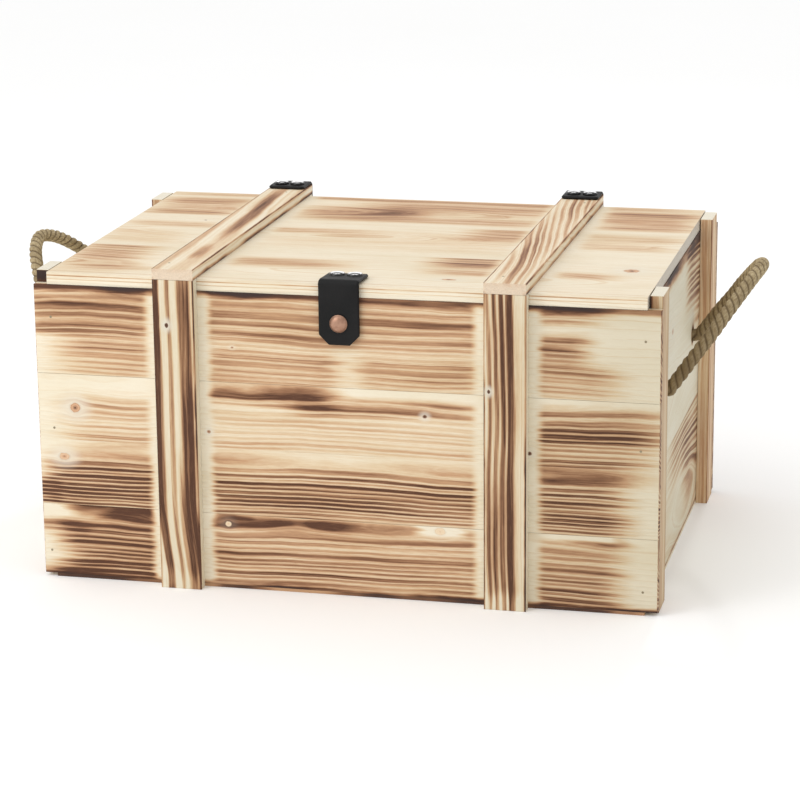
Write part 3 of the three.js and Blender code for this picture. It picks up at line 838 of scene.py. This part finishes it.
def spline(points, step):
    """A centripetal Catmull-Rom curve through points, cut into even steps."""
    ends = [points[0] * 2 - points[1], *points, points[-1] * 2 - points[-2]]
    dense = []
    for p0, p1, p2, p3 in zip(ends, ends[1:], ends[2:], ends[3:]):
        t1 = (p1 - p0).length ** 0.5
        t2 = t1 + (p2 - p1).length ** 0.5
        t3 = t2 + (p3 - p2).length ** 0.5
        for k in range(24):
            t = t1 + (t2 - t1) * k / 24
            a1 = p0 * ((t1 - t) / t1) + p1 * (t / t1)
            a2 = p1 * ((t2 - t) / (t2 - t1)) + p2 * ((t - t1) / (t2 - t1))
            a3 = p2 * ((t3 - t) / (t3 - t2)) + p3 * ((t - t2) / (t3 - t2))
            b1 = a1 * ((t2 - t) / t2) + a2 * (t / t2)
            b2 = a2 * ((t3 - t) / (t3 - t1)) + a3 * ((t - t1) / (t3 - t1))
            dense.append(b1 * ((t2 - t) / (t2 - t1)) + b2 * ((t - t1) / (t2 - t1)))
    dense.append(points[-1])
    return even(dense, step)


def even(points, step):
    """The same line with points at even distances."""
    lengths = [0.0]
    for a, b in zip(points, points[1:]):
        lengths.append(lengths[-1] + (b - a).length)
    count = max(2, round(lengths[-1] / step))
    found = []
    at = 0
    for k in range(count + 1):
        want = lengths[-1] * k / count
        while at < len(points) - 2 and lengths[at + 1] < want:
            at += 1
        span = lengths[at + 1] - lengths[at]
        found.append(points[at].lerp(points[at + 1], (want - lengths[at]) / span if span else 0.0))
    return found


def frames(points):
    """A direction and two cross directions at each point, turned as little as possible along the line."""
    side = None
    for k, point in enumerate(points):
        direction = (points[min(k + 1, len(points) - 1)] - points[max(k - 1, 0)]).normalized()
        if side is None:
            side = direction.orthogonal()
        side = (side - direction * side.dot(direction)).normalized()
        yield point, direction, side, direction.cross(side)


def strand_outline(phase):
    """The rope's radius, as a share of its outer radius, across one strand: phase 0 and 1 are the valleys."""
    angle = (phase - 0.5) * 2 * math.pi / 3
    centre = 0.3  # the strand's middle
    return centre * math.cos(angle) + math.sqrt((1 - centre) ** 2 - (centre * math.sin(angle)) ** 2)


def rope_mesh(name, points, radius, mat, closed=False, taper=None):
    """A three-strand rope along points. Columns of vertices follow the strands."""
    columns = 3 * STRAND_POINTS
    rings = []
    lengths = [0.0]
    for k, (point, _, side, up) in enumerate(frames(points)):
        if k:
            lengths.append(lengths[-1] + (point - points[k - 1]).length)
        twist = 2 * math.pi * lengths[-1] / LAY
        ring = []
        for c in range(columns):
            angle = 2 * math.pi * c / columns - twist
            share = strand_outline((c % STRAND_POINTS) / STRAND_POINTS)
            wobble = 1 + 0.05 * noise.noise(Vector((c * 0.31, lengths[-1] * 260, SEED)))
            size = radius * share * wobble * (taper(k / (len(points) - 1)) if taper else 1.0)
            ring.append(point + (side * math.cos(angle) + up * math.sin(angle)) * size)
        rings.append(ring)
    vertices, faces = skin(rings, closed_ends=not closed)
    if closed:
        faces += band((len(rings) - 1) * columns, 0, columns)
    obj = add_piece(name, vertices, faces, mat, "jute_rope")
    add_rope_uv(obj, columns, lengths)
    return obj


def add_rope_uv(obj, columns, lengths):
    layer = obj.data.uv_layers.new(name="rope")
    for polygon in obj.data.polygons:
        cells = [divmod(v, columns) for v in polygon.vertices]
        wraps = max(c for _, c in cells) - min(c for _, c in cells) > columns / 2
        for loop, (ring, column) in zip(polygon.loop_indices, cells):
            if wraps and column == 0 and len(cells) == 4:
                column = columns
            place = lengths[ring] - lengths[-1] / 2
            layer.data[loop].uv = (column / columns - place / LAY, place)


def add_handle(side, name, mat):
    half = [Vector((side * x, y, z)) * MM for x, y, z in HANDLE_ROUTE]
    other = [Vector((p.x, -p.y, p.z)) for p in reversed(half[:-1])]
    loop = spline([*half, *other], ROPE_STEP)
    start, end = (Vector((side * KNOT_X, y * HANDLE_Y, HANDLE_Z)) for y in (-1, 1))
    line = even([start, *loop, end], ROPE_STEP)
    rope = rope_mesh(f"rope_{name}", line, ROPE_DIAMETER / 2, mat)
    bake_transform(rope)
    knots = [stopper_knot(f"rope_knot_{where}_{name}", side, y, mat)
             for where, y in (("front", -HANDLE_Y), ("back", HANDLE_Y))]
    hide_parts(f"rope_handle_{name}", f"rope_end_front_{name}", f"rope_end_back_{name}")
    length = sum((b - a).length for a, b in zip(line, line[1:]))
    tuple(line[0])
    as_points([tuple(p) for p in line[::4]] + [tuple(line[-1])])


def stopper_knot(name, side, y, mat):
    """An overhand knot pulled tight on the inside of the end wall, with the rope's short tail."""
    steps = 90
    size = 3.6 * MM  # of the trefoil that the knot's rope follows
    deep = 4.5 * MM
    points = []
    for k in range(steps):
        t = 2 * math.pi * k / steps
        a = math.sin(t) + 2 * math.sin(2 * t)
        b = math.cos(t) - 2 * math.cos(2 * t)
        x = side * (KNOT_X - 1 * MM - math.sin(3 * t) * deep)
        points.append(Vector((x, y + a * size, HANDLE_Z + b * size)))
    knot = rope_mesh(name, points, KNOT_RADIUS, mat, closed=True)
    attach(knot, "crate")
    tail = [Vector((side * (KNOT_X - (6 + k) * MM), y + 0.2 * k * MM, HANDLE_Z - 0.25 * k * MM))
            for k in range(TAIL_LONG)]
    end = rope_mesh(f"{name}_tail", tail, TAIL_RADIUS, mat, taper=lambda t: 1 + 0.25 * t * t)
    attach(end, "crate")
    end.parent = knot
    end.matrix_parent_inverse = Matrix.Identity(4)
    return knot


# ---------------------------------------------------------------- leather straps

ROUNDED = 1.1 * MM  # how far the leather's edges are rounded
STRAP_ON_TOP = 34 * MM  # a strap's length on the wood that it is screwed to
STRAP_DOWN = 42 * MM  # a hinge strap's length below the hinge line
TAB_END = 246 * MM
TAB_CHAMFER = 9.5 * MM
STRAP_STEP = 1.2 * MM


def strap_line(corners, rounding):
    """A side view's line, in (y, z), through corners that are rounded."""
    points = [Vector(corners[0])]
    for before, corner, after in zip(corners, corners[1:], corners[2:]):
        corner = Vector(corner)
        enter = (Vector(before) - corner).normalized()
        leave = (Vector(after) - corner).normalized()
        for k in range(9):
            t = k / 8
            a = corner + enter * rounding * (1 - t)
            b = corner + leave * rounding * t
            points.append(a.lerp(b, t))
    points.append(Vector(corners[-1]))
    return even([Vector((0, p.x, p.y)) for p in points], STRAP_STEP)


def strap_mesh(name, line, middle, width_at, mat, dimples=()):
    """A leather strip along line, in the plane of Y and Z. width_at(s, total) is its half width."""
    across = 26
    half = LEATHER / 2
    total = sum((b - a).length for a, b in zip(line, line[1:]))
    rings = []
    travelled = 0.0
    for k, point in enumerate(line):
        if k:
            travelled += (point - line[k - 1]).length
        direction = (line[min(k + 1, len(line) - 1)] - line[max(k - 1, 0)]).normalized()
        outward = Vector((0, -direction.z, direction.y))
        edge = min(travelled, total - travelled)
        thick = half * math.sqrt(max(0.0, 1 - max(0.0, 1 - edge / ROUNDED) ** 2)) + 0.12 * MM
        width = width_at(travelled, total)
        ring = []
        for c in range(across * 2):
            t = (c % across) / (across - 1)
            x = -math.cos(math.pi * t) * 0.35 * width + (2 * t - 1) * 0.65 * width
            round_off = math.sqrt(max(0.0, 1 - max(0.0, (abs(x) - (width - ROUNDED)) / ROUNDED) ** 2))
            height = thick * (0.12 + 0.88 * round_off)
            if c >= across:
                x, height = -x, -height
            place = Vector((middle + x, point.y, point.z)) + outward * height
            ring.append(place - outward * dimple_depth(place, dimples))
        rings.append(ring)
    return add_piece(name, *skin(rings), mat, "black_leather")


def dimple_depth(place, dimples):
    """Leather gives way a little under each washer."""
    return sum(0.35 * MM * max(0.0, 1 - ((place - centre).length / (11 * MM)) ** 2) for centre in dimples)


def hinge_width(corner):
    """A strap's half width along it, with its four corners rounded."""
    def width(s, total):
        edge = max(0.0, corner - min(s, total - s))
        return STRAP_HALF - corner + math.sqrt(max(0.0, corner ** 2 - edge ** 2))
    return width


def tab_width(s, total):
    """The tab's lower corners are cut at 45 degrees, and the other end's are slightly rounded."""
    if total - s < TAB_CHAMFER:
        return STRAP_HALF - (TAB_CHAMFER - (total - s))
    return hinge_width(2.5 * MM)(s, math.inf)


def screw_places(middle):
    return [middle - 8.5 * MM, middle + 8.5 * MM]


def add_straps(leather):
    rest = GAP + LEATHER / 2
    top = LID_BATTEN_TOP + rest
    back = BATTEN_BACK + rest
    for name, side in HANDS:
        x = side * HINGE_X
        line = strap_line(
            [(BATTEN_BACK - STRAP_ON_TOP, top), (back, top), (back, LID_TOP - STRAP_DOWN)], 5 * MM)
        dimples = [Vector((sx, BATTEN_BACK - WASHER_ROW, top)) for sx in screw_places(x)]
        piece = strap_mesh(f"hinge_strap_{name}", line, x, hinge_width(4 * MM), leather, dimples)
        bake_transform(piece)
        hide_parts(f"hinge_strap_upper_{name}", f"hinge_strap_lower_{name}")

    top = LID_TOP + rest
    front = BOX_FRONT - TAB_STANDOFF - LEATHER / 2
    line = strap_line([(LID_FRONT + STRAP_ON_TOP, top), (LID_FRONT + 8 * MM, top + 1.2 * MM),
                       (front, top + 2.2 * MM), (front, TAB_END)], 4.5 * MM)
    dimples = [Vector((sx, LID_FRONT + CLOSURE_ROW, top)) for sx in screw_places(0)]
    tab = strap_mesh("closure_tab_strap", line, 0.0, tab_width, leather, dimples)
    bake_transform(tab)
    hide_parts("closure_strap", "closure_tab")


# ---------------------------------------------------------------- screws, washers and the press stud

FACING = {
    "up": Matrix.Identity(4),
    "back": Matrix.Rotation(-math.pi / 2, 4, "X"),
    "front": Matrix.Rotation(math.pi / 2, 4, "X"),
}
WASHER_PROFILE = [
    (0, 0.3), (7.5, 0.3), (7.6, 0.5), (7.55, 1.0), (7.4, 1.55), (7.2, 2.05), (6.8, 2.35), (6.3, 2.15),
    (5.5, 1.3), (4.4, 0.6), (0, 0.5)]
WASHER_FACES = len(WASHER_PROFILE) - 1  # round the profile on each of the washer's sides
HIGHLIGHT_RIM_FACES = (5, 7)  # the first face of the profile with the painted highlight and the first plain one after it, past the underside
HIGHLIGHT_REACH = 1.6 * MM  # how far from its axis a screw head's painted highlight reaches
HIGHLIGHT_LOWEST = 0.7 * MM  # the painted highlight starts this high; what is lower, such as the cross recess, stays dark
SOCKET_PROFILE = [(0, 0.3), (5.4, 0.3), (5.6, 0.7), (5.2, 1.3), (3.2, 1.5), (2.4, 1.2), (0, 1.2)]
BASE_PROFILE = [(0, -0.5), (4.5, -0.5), (4.5, 0.1), (3.9, 0.3), (0, 0.3)]
CAP_PROFILE = [
    (0, 0.2), (8.0, 0.2), (8.4, 0.45), (8.55, 0.95), (8.5, 1.35), (8.25, 1.6), (8.05, 1.75), (7.8, 2.1),
    (7.2, 2.9), (6.4, 3.65), (5.3, 4.3), (3.9, 4.8), (2.2, 5.1), (0, 5.25)]


def turned(name, profile, facing, place, mat, slot_name, sides=48):
    """A turned piece from its profile in millimetres."""
    vertices, faces = lathe([(r * MM, h * MM) for r, h in profile], sides)
    obj = add_piece(name, vertices, faces, mat, slot_name)
    obj.data.transform(Matrix.Translation(place) @ FACING[facing])
    return obj


def screw_head(name, facing, place, mat, turn):
    """A domed head with a cross recess, in millimetres until it is placed."""
    rings, sides, radius, foot, dome = 16, 48, 4.1, 0.3, 1.0
    vertices = [Vector((0, 0, foot - 0.4))]
    for r in range(rings + 1):
        share = 1 - r / rings
        dome_here = foot + dome * math.sqrt(max(0.0, 1 - share ** 2)) ** 0.9
        for k in range(sides):
            angle = 2 * math.pi * k / sides
            recess = cross_recess(around(radius * share, angle, 0.0))
            vertices.append(around(radius * share, angle + turn, dome_here - recess))
    faces = [(0, 1 + (k + 1) % sides, 1 + k) for k in range(sides)]
    for r in range(rings):
        faces += band(1 + r * sides, 1 + (r + 1) * sides, sides)
    obj = add_piece(name, [v * MM for v in vertices], faces, mat, "black_steel")
    weld(obj)
    obj.data.transform(Matrix.Translation(place) @ FACING[facing])
    return obj


def cross_recess(place):
    """How deep the recess is at a place round the head's axis."""
    arm = min(abs(place.x), abs(place.y))
    inside = max(0.0, min(1.0, (0.75 - arm) / 0.3))
    reach = max(0.0, min(1.0, (2.3 - place.length) / 0.5))
    return 0.5 * inside * reach


def weld(obj):
    shape = bmesh.new()
    shape.from_mesh(obj.data)
    bmesh.ops.remove_doubles(shape, verts=shape.verts, dist=0.002 * MM)
    shape.to_mesh(obj.data)
    shape.free()


def paint_rim_highlight(washer, place, highlight_steel):
    """The inner slope of a washer's rim gets a painted highlight, in white, along its rear half."""
    washer.data.materials.append(highlight_steel)
    low, high = HIGHLIGHT_RIM_FACES
    for polygon in washer.data.polygons:
        ring = polygon.index % WASHER_FACES - 1
        # painted highlight: the rear half of the rim's inner slope takes the white material
        if low <= ring < high and polygon.center.y > place.y:
            polygon.material_index = 1


def paint_head_highlight(head, place, highlight_steel):
    """The middle of a screw head gets a painted highlight, in white."""
    head.data.materials.append(highlight_steel)
    for polygon in head.data.polygons:
        offset = polygon.center - place
        # painted highlight: the dome's middle takes the white material
        if max(offset.y, offset.z) > HIGHLIGHT_LOWEST and sorted(abs(c) for c in offset)[1] < HIGHLIGHT_REACH:
            polygon.material_index = 1


def add_screws(steel, highlight_steel):
    chance = random.Random(SEED)
    above = GAP + LEATHER
    rows = [("closure", "lid", "up", 0.0, LID_FRONT + CLOSURE_ROW, LID_TOP + above)]
    for name, side in HANDS:
        x = side * HINGE_X
        rows.append((f"hinge_upper_{name}", "lid", "up", x, BATTEN_BACK - WASHER_ROW, LID_BATTEN_TOP + above))
        rows.append((f"hinge_lower_{name}", "crate", "back", x, BATTEN_BACK + above, LID_TOP - CLOSURE_ROW))
    for row, body, facing, x, y, z in rows:
        for k, sx in enumerate(screw_places(x)):
            place = Vector((sx, y, z))
            washer = turned(f"{row}_cup_washer_{k + 1}", WASHER_PROFILE, facing, place, steel, "black_steel")
            # painted highlights on each washer's rim and screw head
            paint_rim_highlight(washer, place, highlight_steel)
            head = screw_head(f"{row}_screw_head_{k + 1}", facing, place, steel, chance.uniform(0, 1.5))
            paint_head_highlight(head, place, highlight_steel)
            for piece, node in ((washer, "washer"), (head, "screw")):
                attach(piece, body)
                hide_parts(f"{row}_{node}_{k + 1}")


def add_press_stud(copper):
    place = Vector((0, BOX_FRONT - TAB_STANDOFF - LEATHER, STUD_HEIGHT))
    cap = turned("press_stud_cap", CAP_PROFILE, "front", place, copper, "copper_stud", sides=64)
    inner = place + Vector((0, LEATHER, 0))
    socket = turned("press_stud_socket", SOCKET_PROFILE, "back", inner, copper, "copper_stud")
    wall = Vector((0, BOX_FRONT, STUD_HEIGHT))
    base = turned("press_stud_base", BASE_PROFILE, "front", wall, copper, "copper_stud")
    for piece, body in ((cap, "closure_tab"), (socket, "closure_tab"), (base, "crate")):
        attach(piece, body)
    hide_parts("closure_stud_cap")
    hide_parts("closure_stud_base")


# ---------------------------------------------------------------- nails

WALL_NAILS = [(-284, 259.5), (-285, 150), (-292.6, 26.3), (285.7, 262), (282.5, 158.4), (286, 22.6)]  # x, z
LID_NAILS = [(-169, -190), (-154, 169), (151, -188), (166, 168)]  # x, y
NAIL_PROFILE = [(0, -0.4), (1.15, -0.4), (1.2, 0.0), (1.05, 0.14), (0.6, 0.22), (0, 0.24)]


def add_nails(steel):
    for k, (x, z) in enumerate(WALL_NAILS):
        for wall, facing, y in (("front", "front", BOX_FRONT), ("back", "back", BOX_BACK)):
            place = Vector((x * MM, y, z * MM))
            nail = turned(f"nail_{wall}_{k + 1}", NAIL_PROFILE, facing, place, steel, "black_steel", sides=16)
            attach(nail, "crate")
    for k, (x, y) in enumerate(LID_NAILS):
        place = Vector((x * MM, y * MM, LID_BATTEN_TOP))
        nail = turned(f"nail_lid_{k + 1}", NAIL_PROFILE, "up", place, steel, "black_steel", sides=16)
        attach(nail, "lid")


# ---------------------------------------------------------------- floor and light


def add_floor():
    mesh = bpy.data.meshes.new("floor")
    reach = 12.0
    corners = [(-reach, -reach, 0), (reach, -reach, 0), (reach, reach, 0), (-reach, reach, 0)]
    mesh.from_pydata(corners, [], [(0, 1, 2, 3)])

    def build(n):
        return {"Base Color": n.mix(n.noise(n.place(), 1.5), (255, 255, 255), (253, 253, 252))}

    mesh.materials.append(material("floor", build, Roughness=0.9, Specular_IOR_Level=0.1))
    floor = bpy.data.objects.new("floor", mesh)
    floor.location.z = -0.2 * MM
    bpy.context.scene.collection.objects.link(floor)


def add_light(name, place, target, size, power):
    data = bpy.data.lights.new(name, "AREA")
    data.shape = "DISK"
    data.size = size
    data.energy = power
    light = bpy.data.objects.new(name, data)
    light.location = place
    direction = Vector(target) - Vector(place)
    light.rotation_euler = direction.to_track_quat("-Z", "Y").to_euler()
    bpy.context.scene.collection.objects.link(light)


def add_sun(towards, strength):
    """A wide, soft light from far away, so that the whole floor is evenly lit."""
    data = bpy.data.lights.new("sky", "SUN")
    data.energy = strength
    data.angle = math.radians(60)
    light = bpy.data.objects.new("sky", data)
    light.rotation_euler = Vector(towards).to_track_quat("Z", "Y").to_euler()
    bpy.context.scene.collection.objects.link(light)


def add_lights():
    world = bpy.data.worlds.new("studio")
    world.use_nodes = True
    world.node_tree.nodes["Background"].inputs["Color"].default_value = (1.0, 1.0, 1.0, 1.0)
    world.node_tree.nodes["Background"].inputs["Strength"].default_value = 0.84
    bpy.context.scene.world = world
    middle = (0, 0, 0.2)
    add_light("key", (-1.0, -1.25, 1.0), (-0.1, 0, 0.2), 0.9, 6)
    add_light("glint", (0.3, 1.6, 1.9), middle, 0.16, 5)
    add_sun((-0.4, -0.4, 1.0), 0.56)
    bpy.context.scene.view_settings.view_transform = "Standard"


# ---------------------------------------------------------------- everything together


def main():
    add_camera()
    jute = material("jute_rope", build_rope, Specular_IOR_Level=0.15)
    for name, side in HANDS:
        add_handle(side, name, jute)
    leather = material("black_leather", build_leather, Specular_IOR_Level=0.2)
    steel = material("black_steel", metal_builder((22, 22, 23), (30, 30, 31), 0.16), Metallic=0.6,
                     Coat_Weight=0.6, Coat_Roughness=0.12)
    copper = material("copper_stud", metal_builder((178, 139, 117), (160, 122, 101), 0.36), Metallic=0.8)
    # a white material that is a painted highlight on the washers' rims and the screw heads
    highlight_steel = material("painted_highlight_steel", metal_builder((252, 252, 252), (238, 238, 238), 0.3), Metallic=0.3)
    dull = material("nail_steel", metal_builder((136, 124, 98), (158, 145, 117), 0.5), Metallic=0.2)
    add_straps(leather)
    add_screws(steel, highlight_steel)
    add_press_stud(copper)
    add_nails(dull)
    dress_wood()
    add_floor()
    add_lights()


main()
